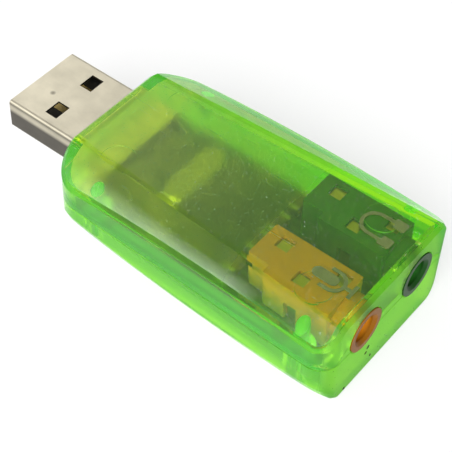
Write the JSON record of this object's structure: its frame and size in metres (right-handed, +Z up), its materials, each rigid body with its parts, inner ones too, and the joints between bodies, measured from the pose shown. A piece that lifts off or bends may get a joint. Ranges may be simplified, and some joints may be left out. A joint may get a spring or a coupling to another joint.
{
  "type": "usb sound card",
  "caption": "Stick-shaped USB sound card: plug at one end, headphone and microphone jacks at the other, in a clear green two-shell case.",
  "frame": {"origin": "centre of the bounding box's bottom face, on the case's flat underside", "axes": "+X from the plug towards the jacks, +Y across towards the headphone jack, +Z up"},
  "size_m": [0.0552, 0.0256, 0.014],
  "materials": {
    "case_plastic": "moulded, clear green, frosted inside the top",
    "plug_steel": "nickel-plated sheet",
    "plug_insulator": "moulded",
    "gold_plate": "plated",
    "board_laminate": "solder mask",
    "solder": "bright",
    "crystal_steel": "drawn",
    "blob_resin": "cast",
    "ceramic": "fired",
    "resistor_black": "glazed",
    "orange_plastic": "moulded",
    "green_plastic": "moulded"
  },
  "bodies": {
    "root": {"upper_case": "case_plastic", "lower_case": "case_plastic", "usb_shell": "plug_steel", "usb_insulator": "plug_insulator", "usb_contacts": "gold_plate", "circuit_board": "board_laminate", "solder_joints": "solder", "crystal_base": "crystal_steel", "crystal_can": "crystal_steel", "crystal_leads": "solder", "codec_blob": "blob_resin", "capacitor_bodies": "ceramic", "capacitor_ends": "solder", "resistor_bodies": "resistor_black", "resistor_ends": "solder", "microphone_housing": "orange_plastic", "headphone_housing": "green_plastic", "microphone_tip_spring": "gold_plate", "microphone_ring_spring": "gold_plate", "microphone_sleeve_spring": "gold_plate", "headphone_tip_spring": "gold_plate", "headphone_ring_spring": "gold_plate", "headphone_sleeve_spring": "gold_plate"}
  },
  "joints": []
}
